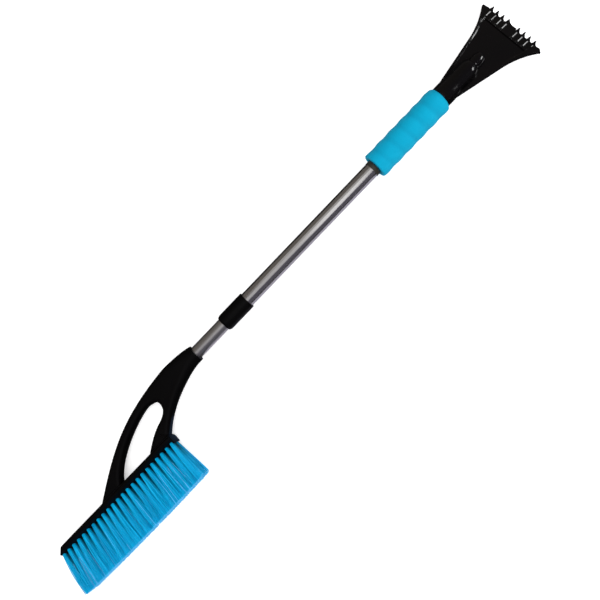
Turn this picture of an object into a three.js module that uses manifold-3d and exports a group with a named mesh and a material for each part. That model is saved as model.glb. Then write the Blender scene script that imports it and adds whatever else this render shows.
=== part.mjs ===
// Telescopic snow brush. A toothed ice scraper and a foam grip sit on the outer tube, and a brush head with
// a finger loop sits on the inner tube. The inner tube slides in the outer one, and an eccentric cam inside
// wedges the two together when they are twisted.
//
// Units are millimetres. Everything is drawn in the stick's own frame: +X along the stick towards the
// scraper, the bristles towards -Y, +Z up, and the stick's axis at y = 0, z = 0. At the end the whole group
// is moved so that the origin is at the middle of its footprint.
import * as THREE from 'three';
import { mergeVertices } from 'three/addons/utils/BufferGeometryUtils.js';
import Module from 'manifold-3d';

const wasm = await Module();
wasm.setup();

// Driving dimensions. "from" and "to" are places along the stick.
const FLOOR = -19.5; // the surface that the brush lies on, below the stick's axis
const ROUND_SIDES = 32;
const SLIDE_GAP = 0.15; // radial gap between round pieces that slide or are pushed together
const END_GAP = 0.3; // gap between faces that rest on each other

const OUTER_TUBE = { radius: 11, wall: 0.9, from: -60, to: 420 };
const INNER_TUBE = { radius: 9.75, wall: 0.9, from: -190, to: 262 };
const OUTER_BORE = OUTER_TUBE.radius - OUTER_TUBE.wall;
const INNER_BORE = INNER_TUBE.radius - INNER_TUBE.wall;

const COLLAR = { radius: 13, from: -67.8, to: -20.5, lip: 2.2, noseLength: 3.3, noseRadius: 11.6 };
const GRIP = { radius: 19.1, wave: 0.4, pitch: 22.3, crest: 242, from: 235.8, to: 364.2 };
const GRIP_ROUNDING = { brushEnd: 1.5, scraperEnd: 4.5, sides: 24 };
const STOP_RING = { radius: 11.5, bore: 11.15, from: 229, to: 235.5 }; // holds the grip's end

const HUB = { neckRadius: 15.8, from: 364.5, neckTo: 379, bodyRadius: 14.3, bodyFrom: 391, bodyTo: 419 };
const NOSE = { radius: 8.8, from: 427, to: 439, end: 447.5 };

const BLADE = { root: 383, bend: 455, groove: 490.5, land: 503, lip: 508.5, tip: 515 };
const BLADE_HALF = { root: 16, bend: 31, ear: 53.5 };
const RIM = { width: 3.5, height: 2.5 };
const POCKET_HALF = 37.4; // half-width of the sunken floor at the groove and the lip
const TEETH = { pitch: 9.65, perSide: 4, shift: 1.2, notch: 507.5, centreEdge: 510.5 };
const FIN = { width: 2.4, offset: -0.2, from: 493.5 };

const FRAME = { neckEnd: -125, neckRadius: 13, armThickness: 20, armRounding: 4 };
const BLOCK = { left: -460.3, right: -232.3, top: -55, face: -65.5, depth: 33, rounding: 5 };
const BLOCK_CHAMFER = { along: 8.5, down: 8 };
const END_WALL = { from: -233, to: -231.2, foot: -68.2, depth: 25 };

const TUFTS = { columns: 23, firstRoot: -456.8, lastRoot: -236.3, firstTip: -463.2, lastTip: -236 };
const TUFT_ROWS = { rootPitch: 8.5, tipPitch: 12.5 };
const TUFT = { rootRadius: 2.7, holeRadius: 3, holeDepth: 6.5, length: 63.7, bow: 1.5, sides: 6 };
const TUFT_BELLY = { at: 0.45, halfX: 5.1, halfZ: 4.8 };
const TUFT_TIP = { halfX: 5.7, halfZ: 7 };

const SCREW = { headRadius: 3, headHeight: 1.5, shankRadius: 1.5, recess: 0.8, sides: 12 };
const SCREW_HOLE = { radius: 1.75, pocketRadius: 3.4 };
const BRUSH_SCREW = { at: -150, pocketTop: -11.3, tip: -7.2 };
const SCRAPER_SCREW = { at: 374, pocketTop: -13.7, tip: -8.6 };

// The twist lock, measured from the inner tube's inner end.
const PLUG = { from: -30, flange: [0.3, 2.8], journalTo: 9.2, collarTo: 11.2, to: 26 };
const PLUG_RADII = { flange: 9.5, journal: 7.6, collar: 9, cam: 5.4 };
const CAM = { offset: 0.5, radius: 9.35, bore: 5.65, from: 11.6, to: 25.6, slit: 2 };
const CENTRING_RING = { radius: 9.95, bore: 7.75, from: 3.1, to: 8.9, slit: 1.5 };
const WASHER = { radius: 8, bore: 2.2, from: 26.3, to: 27.8 };
const CAM_SCREW = { headRadius: 3.4, headTo: 30, shankRadius: 1.7, holeRadius: 1.9, tip: 10, holeTo: 8 };
const PIN = { at: -15, radius: 1.5, holeRadius: 1.7, length: 19.2 };

// Materials
function finish(colour, roughness, metalness) {
  return () => new THREE.MeshStandardMaterial({ color: colour, roughness, metalness });
}

const blackPlastic = finish(0x0d0c0c, 0.3, 0);
const cyanFoam = finish(0x12a8d4, 0.85, 0);
const cyanNylon = finish(0x0096d2, 0.5, 0);
const aluminium = finish(0xb8b8b6, 0.28, 1);
const whiteNylon = finish(0xe8e6de, 0.5, 0);
const greyNylon = finish(0x6c6e70, 0.5, 0);
const zincSteel = finish(0x9fa2a5, 0.35, 1);

// A closed geometry as a solid that can be joined and cut.
function solid(geometry) {
  const bare = geometry.clone();
  bare.deleteAttribute('normal');
  bare.deleteAttribute('uv');
  const merged = mergeVertices(bare, 1e-4);
  return new wasm.Manifold(new wasm.Mesh({
    numProp: 3,
    vertProperties: merged.attributes.position.array,
    triVerts: new Uint32Array(merged.index.array),
  }));
}

// A solid as a geometry.
function geometryOf(body) {
  const { vertProperties, triVerts } = body.getMesh();
  const geometry = new THREE.BufferGeometry();
  geometry.setAttribute('position', new THREE.BufferAttribute(vertProperties, 3));
  geometry.setIndex(new THREE.BufferAttribute(triVerts, 1));
  geometry.computeVertexNormals();
  return geometry;
}

// A body turned about X. Its profile is a list of [x, radius] points.
function turned(profile, sides = ROUND_SIDES) {
  const points = profile.map(([x, radius]) => new THREE.Vector2(radius, x));
  return new THREE.LatheGeometry(points, sides).rotateZ(-Math.PI / 2);
}

// A plain ring or tube about X.
function ring({ radius, bore, from, to }, sides = ROUND_SIDES) {
  return turned([[from, bore], [from, radius], [to, radius], [to, bore], [from, bore]], sides);
}

// A plain rod about X.
function rod(radius, from, to, sides = ROUND_SIDES) {
  return turned([[from, 0], [from, radius], [to, radius], [to, 0]], sides);
}

// An outline in the XY plane, made thick evenly about z = 0, with its edges rounded.
function slab(outline, thickness, rounding = 0) {
  const depth = thickness - 2 * rounding;
  return new THREE.ExtrudeGeometry(outline, {
    depth,
    curveSegments: 10,
    bevelEnabled: rounding > 0,
    bevelThickness: rounding,
    bevelSize: rounding,
    bevelOffset: -rounding,
    bevelSegments: 3,
  }).translate(0, 0, -depth / 2);
}

// An outline in the XZ plane, made wide evenly about y = 0.
function sideSlab(outline, width) {
  return slab(outline, width).rotateX(Math.PI / 2);
}

// A closed outline through straight corners.
function polygon(corners) {
  return new THREE.Shape(corners.map(([u, v]) => new THREE.Vector2(u, v)));
}

// A slit along X through the top of a ring, which makes it springy.
function slitRing(spec) {
  const length = spec.to - spec.from + 2;
  const slit = new THREE.BoxGeometry(length, spec.slit, spec.radius * 1.2);
  slit.translate((spec.from + spec.to) / 2, 0, spec.radius * 0.8);
  return solid(ring(spec)).subtract(solid(slit));
}

// A screw that points up, with the underside of its head at z = 0.
function screwGeometry(length) {
  const { headRadius, headHeight, shankRadius, recess, sides } = SCREW;
  const profile = [
    [0, recess - headHeight], [1.2, recess - headHeight], [1.5, -headHeight],
    [headRadius - 0.5, -headHeight], [headRadius, 0.5 - headHeight], [headRadius, 0],
    [shankRadius, 0], [shankRadius, length - 1.2], [0, length],
  ];
  const points = profile.map(([radius, height]) => new THREE.Vector2(radius, height));
  return new THREE.LatheGeometry(points, sides).rotateX(Math.PI / 2);
}

// The hole for such a screw: a clearance hole with a pocket for the head below it.
function screwHole({ at, pocketTop, tip }) {
  const { radius, pocketRadius } = SCREW_HOLE;
  const below = FLOOR;
  const pocket = new THREE.CylinderGeometry(pocketRadius, pocketRadius, pocketTop - below, SCREW.sides);
  pocket.rotateX(Math.PI / 2).translate(at, 0, (pocketTop + below) / 2);
  const hole = new THREE.CylinderGeometry(radius, radius, tip + 1 - below, SCREW.sides);
  hole.rotateX(Math.PI / 2).translate(at, 0, (tip + 1 + below) / 2);
  return solid(pocket).add(solid(hole));
}

// Only the narrow hole, for the tube's wall.
function tubeHole(at) {
  const { radius } = SCREW_HOLE;
  const hole = new THREE.CylinderGeometry(radius, radius, 2 * OUTER_TUBE.radius, SCREW.sides);
  return solid(hole.rotateX(Math.PI / 2).translate(at, 0, -OUTER_TUBE.radius));
}

// Tubes, collar and grip

function outerTube() {
  const { radius, from, to } = OUTER_TUBE;
  return geometryOf(solid(ring({ radius, bore: OUTER_BORE, from, to })).subtract(tubeHole(SCRAPER_SCREW.at)));
}

function pinHole(radius, length) {
  return solid(new THREE.CylinderGeometry(radius, radius, length, SCREW.sides));
}

function innerTube() {
  const { radius, from, to } = INNER_TUBE;
  const pin = pinHole(PIN.holeRadius, 2.4 * radius).translate([to + PIN.at, 0, 0]);
  return geometryOf(
    solid(ring({ radius, bore: INNER_BORE, from, to })).subtract(tubeHole(BRUSH_SCREW.at)).subtract(pin),
  );
}

function collarSleeve() {
  const { radius, from, to, lip, noseLength, noseRadius } = COLLAR;
  const bore = OUTER_TUBE.radius + SLIDE_GAP;
  const lipBore = INNER_TUBE.radius + 3 * SLIDE_GAP;
  return turned([
    [from, lipBore], [from, noseRadius - 0.6], [from + 0.6, noseRadius], [from + noseLength, radius],
    [to - 0.6, radius], [to, radius - 0.6], [to, bore], [from + lip, bore], [from + lip, lipBore],
    [from, lipBore],
  ]);
}

function collarBush() {
  return ring({
    radius: OUTER_TUBE.radius,
    bore: INNER_TUBE.radius + SLIDE_GAP,
    from: COLLAR.from + COLLAR.lip + END_GAP,
    to: OUTER_TUBE.from - END_GAP,
  });
}

function foamGrip() {
  const { radius, wave, pitch, crest, from, to } = GRIP;
  const { brushEnd, scraperEnd, sides } = GRIP_ROUNDING;
  const bore = OUTER_TUBE.radius + 2 * SLIDE_GAP;
  const surface = (x) => radius + wave * Math.cos((2 * Math.PI * (x - crest)) / pitch);
  const profile = [[from, bore], [from, surface(from) - brushEnd]];
  const first = from + brushEnd;
  const last = to - scraperEnd;
  const steps = Math.round((4 * (last - first)) / pitch);
  for (let i = 0; i <= steps; i++) {
    const x = first + ((last - first) * i) / steps;
    profile.push([x, surface(x)]);
  }
  for (const angle of [Math.PI / 6, Math.PI / 3, Math.PI / 2]) {
    profile.push([last + scraperEnd * Math.sin(angle), surface(last) - scraperEnd * (1 - Math.cos(angle))]);
  }
  profile.push([to, bore], [from, bore]);
  return turned(profile, sides);
}

// Scraper head

// Height of the blade's floor at a place along the stick.
function bladeTop(x) {
  const corners = [[BLADE.root, 2.2], [BLADE.groove, -12.5], [BLADE.lip, -17], [BLADE.tip, -18.2]];
  let i = 1;
  while (i < corners.length - 1 && x > corners[i][0]) {
    i++;
  }
  const [x0, z0] = corners[i - 1];
  const [x1, z1] = corners[i];
  return z0 + ((z1 - z0) * (x - x0)) / (x1 - x0);
}

// One spike in plan: a straight upper side, a sharp tip and a hollow slanting lower side.
function addTooth(outline, y, edgeAfter) {
  const { tip } = BLADE;
  outline.lineTo(TEETH.notch + 0.5, y + 2);
  outline.lineTo(tip - 1.2, y + 0.8);
  outline.lineTo(tip, y);
  outline.lineTo(tip - 0.9, y - 0.8);
  outline.quadraticCurveTo(edgeAfter + 2, y - 2, edgeAfter, y - 5.8);
}

// The spikes' places across the blade. The row stands a little to one side of the stick's axis.
function toothPlaces() {
  const places = [];
  for (let i = TEETH.perSide; i >= -TEETH.perSide; i--) {
    if (i !== 0) {
      places.push(i * TEETH.pitch + TEETH.shift);
    }
  }
  return places;
}

// The blade in plan, with flared sides, blunt ears and the row of spikes.
function bladeOutline() {
  const { root, bend, lip } = BLADE;
  const { ear } = BLADE_HALF;
  const outline = new THREE.Shape();
  outline.moveTo(root - 10, BLADE_HALF.root - 2);
  outline.lineTo(root, BLADE_HALF.root);
  outline.lineTo(bend, BLADE_HALF.bend);
  outline.quadraticCurveTo(480, 36.5, lip - 5, ear - 0.9);
  outline.lineTo(lip - 2, ear - 0.5);
  outline.lineTo(lip - 1.2, ear - 2);
  outline.lineTo(lip + 0.3, ear - 10.5);
  const places = toothPlaces();
  places.forEach((y, i) => {
    const isBeforeGap = i === TEETH.perSide - 1;
    addTooth(outline, y, isBeforeGap ? TEETH.centreEdge : TEETH.notch);
    if (isBeforeGap) {
      outline.lineTo(TEETH.centreEdge, places[i + 1] + 2.2);
    }
  });
  outline.lineTo(lip, 4.6 - ear);
  outline.lineTo(lip - 4.4, -ear - 0.5);
  outline.lineTo(lip - 5, 0.9 - ear);
  outline.quadraticCurveTo(480, -36.5, bend, -BLADE_HALF.bend);
  outline.lineTo(root, -BLADE_HALF.root);
  outline.lineTo(root - 10, 2 - BLADE_HALF.root);
  return outline;
}

// The sunken floor in plan, inside the side rims and between the ears.
function pocketOutline() {
  const { root, bend, groove, tip } = BLADE;
  const rootHalf = BLADE_HALF.root - RIM.width;
  const bendHalf = BLADE_HALF.bend - RIM.width;
  const outline = new THREE.Shape();
  outline.moveTo(root, rootHalf);
  outline.lineTo(bend, bendHalf);
  outline.quadraticCurveTo(478, 32.5, groove, POCKET_HALF);
  outline.lineTo(tip + 5, POCKET_HALF);
  outline.lineTo(tip + 5, -POCKET_HALF);
  outline.lineTo(groove, -POCKET_HALF);
  outline.quadraticCurveTo(478, -32.5, bend, -bendHalf);
  outline.lineTo(root, -rootHalf);
  return outline;
}

// A rib on the blade's floor that runs out into a spike.
function fin(y) {
  const { from, width, offset } = FIN;
  const { lip, tip } = BLADE;
  const side = polygon([
    [from, FLOOR + 1], [from, bladeTop(from)], [from + 3, bladeTop(from + 3) + 1.7],
    [lip, bladeTop(lip) + 1.9], [tip - 0.6, bladeTop(tip) + 1.2], [tip, bladeTop(tip) + 0.6], [tip, FLOOR],
    [lip, FLOOR],
  ]);
  return solid(sideSlab(side, width)).translate([0, y + offset, 0]);
}

function hub() {
  const { from, neckRadius, neckTo, bodyRadius, bodyFrom, bodyTo } = HUB;
  return solid(turned([
    [from, 0], [from, neckRadius - 0.6], [from + 0.6, neckRadius], [neckTo, neckRadius],
    [bodyFrom, bodyRadius], [bodyTo, bodyRadius], [bodyTo + 5, 12], [NOSE.from, NOSE.radius],
    [NOSE.to, NOSE.radius], [NOSE.to + 5, 6.9], [NOSE.end - 1, 3.5], [NOSE.end, 0],
  ]));
}

function scraperHead() {
  const { root, groove, land, lip, tip } = BLADE;
  const plan = solid(slab(bladeOutline(), 60));
  const side = polygon([
    [root - 10, 3.5], [root, bladeTop(root) + RIM.height], [groove, bladeTop(groove) + RIM.height],
    [lip, bladeTop(lip) + 0.9], [tip, bladeTop(tip)], [tip, FLOOR], [land, FLOOR],
    [groove, -16.5], [root, -3.5], [root - 10, -2.5],
  ]);
  const overFloor = polygon([
    [root - 1, bladeTop(root)], [root - 1, 20], [tip + 5, 20], [tip + 5, bladeTop(tip)],
    [tip, bladeTop(tip)], [lip, bladeTop(lip)], [groove, bladeTop(groove)], [root, bladeTop(root)],
  ]);
  const pocket = solid(slab(pocketOutline(), 60)).intersect(solid(sideSlab(overFloor, 120)));
  const grooveCut = new THREE.BoxGeometry(1, 2 * POCKET_HALF - 2, 1.6).translate(groove, 0, bladeTop(groove));
  const scoop = new THREE.CylinderGeometry(8, 8, 10, 24).rotateX(Math.PI / 2).translate(517, 0, -12.8);

  let head = plan.intersect(solid(sideSlab(side, 120))).subtract(pocket);
  head = head.subtract(solid(grooveCut)).subtract(solid(scoop));
  for (const y of toothPlaces()) {
    head = head.add(fin(y).intersect(plan));
  }
  const socket = rod(OUTER_TUBE.radius + SLIDE_GAP, HUB.from - 1, OUTER_TUBE.to + END_GAP);
  return geometryOf(head.add(hub()).subtract(solid(socket)).subtract(screwHole(SCRAPER_SCREW)));
}

// Brush head

// The arched arm in plan, from the neck down to the block, with its two feet sunk in the block.
function armOutline() {
  const foot = BLOCK.face + 1.5;
  const arm = new THREE.Shape();
  arm.moveTo(FRAME.neckEnd, 13);
  arm.bezierCurveTo(-141, 17.5, -158, 17.1, -174.4, 17.7);
  arm.bezierCurveTo(-265.7, 10.9, -304.4, -10.8, -366, -51.5);
  arm.lineTo(-372, foot);
  arm.lineTo(-232.5, foot);
  arm.lineTo(-230.5, -54);
  arm.bezierCurveTo(-197.2, -22.9, -147, -10.9, FRAME.neckEnd, -13);
  arm.holes.push(fingerLoop(BLOCK.top - 0.5));
  return arm;
}

// The finger loop in plan: pointed over the block at one end and round at the other.
function fingerLoop(foot) {
  const loop = new THREE.Path();
  loop.moveTo(-328.4, foot);
  loop.lineTo(-328.4, -53);
  loop.bezierCurveTo(-308.5, -22, -232, 0.4, -224, -4.9);
  loop.bezierCurveTo(-209.4, -7.6, -209.8, -13.5, -213.3, -22.5);
  loop.quadraticCurveTo(-218.5, -29.5, -231.5, -33);
  loop.quadraticCurveTo(-248, -37.5, -270.5, -54);
  loop.lineTo(-272, foot);
  return loop;
}

// The straight bar that holds the tufts, with round upper edges and a chamfer at its far end.
function block() {
  const { left, right, top, face, depth, rounding } = BLOCK;
  const half = depth / 2;
  const section = new THREE.Shape();
  section.moveTo(face, half);
  section.lineTo(top - rounding, half);
  section.absarc(top - rounding, half - rounding, rounding, Math.PI / 2, 0, true);
  section.absarc(top - rounding, rounding - half, rounding, 0, -Math.PI / 2, true);
  section.lineTo(face, -half);
  const bar = new THREE.ExtrudeGeometry(section, {
    depth: right - left,
    curveSegments: 5,
    bevelEnabled: false,
  });
  const toYZ = new THREE.Matrix4().makeBasis(
    new THREE.Vector3(0, 1, 0), new THREE.Vector3(0, 0, 1), new THREE.Vector3(1, 0, 0),
  );
  bar.applyMatrix4(toYZ).translate(left, 0, 0);
  const chamfered = polygon([
    [left + BLOCK_CHAMFER.along, top + 1], [right + 1, top + 1], [right + 1, face - 1],
    [left, face - 1], [left, top - BLOCK_CHAMFER.down],
  ]);
  return solid(bar).intersect(solid(slab(chamfered, depth + 4)));
}

function endWall() {
  const { from, to, foot, depth } = END_WALL;
  const wall = polygon([[from, BLOCK.top], [to, BLOCK.top], [to, foot + 1], [to - 0.8, foot], [from, foot]]);
  return solid(slab(wall, depth));
}

function neck() {
  const { neckEnd, neckRadius } = FRAME;
  const bodyTo = INNER_TUBE.from - 5;
  return solid(turned([
    [bodyTo - 11, 0], [bodyTo - 10, 5.5], [bodyTo - 6, 9.8], [bodyTo, neckRadius - 0.4],
    [neckEnd - 0.5, neckRadius], [neckEnd, neckRadius - 0.5], [neckEnd, 0],
  ]));
}

// The tufts' places: each column's root and tip along the stick, and the reach of its tips.
function tuftColumns() {
  const columns = [];
  for (let i = 0; i < TUFTS.columns; i++) {
    const t = i / (TUFTS.columns - 1);
    columns.push({
      root: THREE.MathUtils.lerp(TUFTS.firstRoot, TUFTS.lastRoot, t),
      tip: THREE.MathUtils.lerp(TUFTS.firstTip, TUFTS.lastTip, t),
      reach: TUFT.length + TUFT.bow * Math.sin(Math.PI * t),
    });
  }
  return columns;
}

function tuftHoles() {
  const holes = [];
  const depth = TUFT.holeDepth + 1;
  for (const { root } of tuftColumns()) {
    for (const row of [-1, 0, 1]) {
      const hole = new THREE.CylinderGeometry(TUFT.holeRadius, TUFT.holeRadius, depth, TUFT.sides);
      hole.translate(root, BLOCK.face - 1 + depth / 2, row * TUFT_ROWS.rootPitch);
      holes.push(solid(hole));
    }
  }
  return wasm.Manifold.union(holes);
}

function brushFrame() {
  const arm = solid(slab(armOutline(), FRAME.armThickness, FRAME.armRounding));
  const socket = rod(INNER_TUBE.radius + SLIDE_GAP, INNER_TUBE.from - END_GAP, FRAME.neckEnd + 1);
  const body = arm.add(block()).add(endWall()).add(neck());
  return geometryOf(
    body.subtract(solid(socket)).subtract(screwHole(BRUSH_SCREW)).subtract(tuftHoles()),
  );
}

// One tuft: straight in its hole, then spreading quickly to its belly and slowly to its cut tip.
function tuft({ root, tip, reach }, row) {
  const rootZ = row * TUFT_ROWS.rootPitch;
  const tipZ = row * TUFT_ROWS.tipPitch;
  const rings = [
    { y: BLOCK.face + TUFT.holeDepth - END_GAP, t: 0, halfX: TUFT.rootRadius, halfZ: TUFT.rootRadius },
    { y: BLOCK.face, t: 0, halfX: TUFT.rootRadius, halfZ: TUFT.rootRadius },
    { y: BLOCK.face - TUFT_BELLY.at * reach, t: TUFT_BELLY.at, ...TUFT_BELLY },
    { y: BLOCK.face - reach, t: 1, ...TUFT_TIP },
  ];
  const geometry = new THREE.CylinderGeometry(1, 1, rings.length - 1, TUFT.sides, rings.length - 1);
  const position = geometry.attributes.position;
  for (let i = 0; i < position.count; i++) {
    const level = Math.round((rings.length - 1) / 2 - position.getY(i));
    const { y, t, halfX, halfZ } = rings[level];
    const x = THREE.MathUtils.lerp(root, tip, t) + halfX * position.getX(i);
    const z = THREE.MathUtils.lerp(rootZ, tipZ, t) + halfZ * position.getZ(i);
    position.setXYZ(i, x, y, z);
  }
  return solid(geometry);
}

// A column of three tufts, which grow together at their tips.
function tuftColumn(column) {
  return geometryOf(tuft(column, -1).add(tuft(column, 0)).add(tuft(column, 1)));
}

// Twist lock

function camPlug() {
  const { from, flange, journalTo, collarTo, to } = PLUG;
  const bodyRadius = INNER_BORE - SLIDE_GAP;
  const body = turned([
    [from, 0], [from, bodyRadius - 1], [from + 1, bodyRadius], [flange[0], bodyRadius],
    [flange[0], PLUG_RADII.flange], [flange[1], PLUG_RADII.flange], [flange[1], PLUG_RADII.journal],
    [journalTo, PLUG_RADII.journal], [journalTo, PLUG_RADII.collar], [collarTo, PLUG_RADII.collar],
    [collarTo, 0],
  ]);
  const camJournal = solid(rod(PLUG_RADII.cam, journalTo, to)).translate([0, 0, CAM.offset]);
  const screwBore = rod(CAM_SCREW.holeRadius, CAM_SCREW.holeTo, to + 1, SCREW.sides);
  const pin = pinHole(PIN.holeRadius, 3 * bodyRadius).translate([PIN.at, 0, 0]);
  return geometryOf(
    solid(body).add(camJournal).subtract(solid(screwBore).translate([0, 0, CAM.offset])).subtract(pin),
  );
}

// The cam ring's bore is off its centre by as much as the journal is, so that it can be concentric at rest.
function camRing() {
  const { radius, bore, from, to, slit, offset } = CAM;
  const hole = solid(rod(bore, from - 1, to + 1)).translate([0, 0, offset]);
  const gap = new THREE.BoxGeometry(to - from + 2, slit, radius).translate((from + to) / 2, 0, -radius);
  return geometryOf(solid(rod(radius, from, to)).subtract(hole).subtract(solid(gap)));
}

function camScrew() {
  const { headRadius, headTo, shankRadius, tip } = CAM_SCREW;
  const head = WASHER.to + END_GAP;
  return turned([
    [tip, 0], [tip + 1.5, shankRadius], [head, shankRadius], [head, headRadius], [headTo - 0.6, headRadius],
    [headTo, headRadius - 0.6], [headTo, 1.5], [headTo - 1, 1.2], [headTo - 1, 0],
  ], SCREW.sides);
}

// Assembly

function piece(parent, name, geometry, material) {
  const mesh = new THREE.Mesh(geometry, material());
  mesh.name = name;
  parent.add(mesh);
  return mesh;
}

function addScrew(parent, name, { at, pocketTop, tip }) {
  const seat = pocketTop - END_GAP / 2;
  piece(parent, name, screwGeometry(tip - seat), zincSteel).position.set(at, 0, seat);
}

function handle() {
  const group = new THREE.Group();
  piece(group, 'outer_tube', outerTube(), aluminium);
  piece(group, 'collar_sleeve', collarSleeve(), blackPlastic);
  piece(group, 'collar_bush', collarBush(), whiteNylon);
  piece(group, 'foam_grip', foamGrip(), cyanFoam);
  piece(group, 'grip_stop_ring', ring(STOP_RING), blackPlastic);
  piece(group, 'scraper_head', scraperHead(), blackPlastic);
  addScrew(group, 'scraper_screw', SCRAPER_SCREW);
  return group;
}

function twistLock() {
  const group = new THREE.Group();
  group.position.x = INNER_TUBE.to;
  piece(group, 'cam_plug', camPlug(), greyNylon);
  piece(group, 'centring_ring', geometryOf(slitRing(CENTRING_RING)), whiteNylon);
  piece(group, 'cam_ring', camRing(), greyNylon);
  piece(group, 'cam_washer', ring(WASHER), zincSteel).position.z = CAM.offset;
  piece(group, 'cam_screw', camScrew(), zincSteel).position.z = CAM.offset;
  const pin = new THREE.CylinderGeometry(PIN.radius, PIN.radius, PIN.length, SCREW.sides);
  piece(group, 'plug_pin', pin, zincSteel).position.x = PIN.at;
  return group;
}

function brushHead() {
  const group = new THREE.Group();
  piece(group, 'inner_tube', innerTube(), aluminium);
  piece(group, 'brush_frame', brushFrame(), blackPlastic);
  addScrew(group, 'brush_screw', BRUSH_SCREW);
  tuftColumns().forEach((column, i) => {
    const number = String(i + 1).padStart(2, '0');
    piece(group, `tuft_column_${number}`, tuftColumn(column), cyanNylon);
  });
  return group;
}

const group = new THREE.Group();
group.add(handle(), brushHead(), twistLock());

const box = new THREE.Box3().setFromObject(group, true);
const middle = box.getCenter(new THREE.Vector3());
group.position.set(-middle.x, -middle.y, -box.min.z);

export default group;
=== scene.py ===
import math
import random

import bmesh
import bpy
import numpy as np
from mathutils import Matrix, Vector, noise
from mathutils.geometry import delaunay_2d_cdt


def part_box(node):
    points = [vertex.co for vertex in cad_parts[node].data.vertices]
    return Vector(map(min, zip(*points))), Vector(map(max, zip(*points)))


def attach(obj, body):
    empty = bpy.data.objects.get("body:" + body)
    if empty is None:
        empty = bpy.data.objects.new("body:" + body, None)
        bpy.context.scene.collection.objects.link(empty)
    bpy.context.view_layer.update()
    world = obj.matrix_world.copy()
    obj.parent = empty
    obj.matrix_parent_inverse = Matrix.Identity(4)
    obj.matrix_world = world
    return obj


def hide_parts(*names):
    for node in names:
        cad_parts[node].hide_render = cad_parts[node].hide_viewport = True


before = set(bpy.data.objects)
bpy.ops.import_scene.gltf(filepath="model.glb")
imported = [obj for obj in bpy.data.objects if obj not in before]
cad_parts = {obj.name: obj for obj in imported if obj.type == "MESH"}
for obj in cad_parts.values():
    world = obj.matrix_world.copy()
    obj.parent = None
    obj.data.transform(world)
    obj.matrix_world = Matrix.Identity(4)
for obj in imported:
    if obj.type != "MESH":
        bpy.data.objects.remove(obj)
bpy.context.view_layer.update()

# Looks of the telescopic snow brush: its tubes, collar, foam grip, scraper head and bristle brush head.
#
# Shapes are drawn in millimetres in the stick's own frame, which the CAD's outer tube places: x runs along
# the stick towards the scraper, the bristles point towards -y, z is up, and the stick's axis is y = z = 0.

# ---- the stick's frame and driving sizes ----

MM = 0.001
tube_low, tube_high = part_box("outer_tube")
MOUTH = -60.0  # the outer tube's open end, along the stick
STICK = np.array([
    tube_low.x - MOUTH * MM,
    (tube_low.y + tube_high.y) / 2,
    (tube_low.z + tube_high.z) / 2,
])


def along(node):
    """Where a CAD node starts and ends along the stick, in millimetres."""
    low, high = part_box(node)
    return (low.x - STICK[0]) / MM, (high.x - STICK[0]) / MM


def half_size(node, axis):
    """Half a CAD node's size along one axis, in millimetres."""
    low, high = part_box(node)
    return (high[axis] - low[axis]) / 2 / MM


OUTER_R = half_size("outer_tube", 1)
INNER_R = half_size("inner_tube", 1)
WALL = 0.9  # of both tubes
COLLAR_R = half_size("collar_sleeve", 1)
FIT = 0.15  # radial gap between round pieces
SMOOTH_SIDES = 128

# ---- building meshes ----


def finish_mesh(mesh, sharp):
    """Smooth shading that breaks at edges sharper than so many degrees."""
    bm = bmesh.new()
    bm.from_mesh(mesh)
    bmesh.ops.remove_doubles(bm, verts=bm.verts, dist=1e-7)
    bmesh.ops.recalc_face_normals(bm, faces=bm.faces)
    limit = math.radians(sharp)
    for face in bm.faces:
        face.smooth = True
    for edge in bm.edges:
        edge.smooth = edge.is_manifold and edge.calc_face_angle(0) < limit
    bm.to_mesh(mesh)
    bm.free()


def new_object(name, verts, faces):
    """A mesh object from points in the stick's frame, its faces turned outwards."""
    mesh = bpy.data.meshes.new(name)
    mesh.from_pydata((np.asarray(verts, float) * MM + STICK).tolist(), [], faces)
    bm = bmesh.new()
    bm.from_mesh(mesh)
    bmesh.ops.recalc_face_normals(bm, faces=bm.faces)
    bm.to_mesh(mesh)
    bm.free()
    obj = bpy.data.objects.new(name, mesh)
    bpy.context.scene.collection.objects.link(obj)
    return obj


def store(obj, name, values):
    """Keeps one number for each of a mesh's points, for its material to read."""
    layer = obj.data.attributes.new(name, "FLOAT", "POINT")
    layer.data.foreach_set("value", values)


def dress(obj, body, slot, material, nodes=(), sharp=32):
    """Gives a finished shape its shading, its material and its place in the frame."""
    finish_mesh(obj.data, sharp)
    obj.data.materials.clear()
    obj.data.materials.append(material)
    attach(obj, body)
    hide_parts(*nodes)


def soften(profile, cut, closed=True, steps=3):
    """The same profile with its corners rounded over so many millimetres: one number, or one for each."""
    count = len(profile)
    cuts = [cut] * count if isinstance(cut, (int, float)) else cut
    points = [np.array(p, float) for p in profile]
    result = []
    for i, corner in enumerate(points):
        if not closed and i in (0, count - 1):
            result.append(tuple(corner))
            continue
        before = points[i - 1] - corner
        after = points[(i + 1) % count] - corner
        room = min(cuts[i], 0.45 * np.linalg.norm(before), 0.45 * np.linalg.norm(after))
        start = corner + before / np.linalg.norm(before) * room
        end = corner + after / np.linalg.norm(after) * room
        for k in range(steps + 1):
            t = k / steps
            result.append(tuple((1 - t) ** 2 * start + 2 * t * (1 - t) * corner + t ** 2 * end))
    return result


def circle(sides):
    """The points of a unit circle, as pairs of a cosine and a sine."""
    angles = [2 * math.pi * k / sides for k in range(sides)]
    return [(math.cos(angle), math.sin(angle)) for angle in angles]


def ring_faces(a, b, sides):
    """The faces between two rings of points that start at a and b."""
    return [(a + k, a + (k + 1) % sides, b + (k + 1) % sides, b + k) for k in range(sides)]


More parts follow.
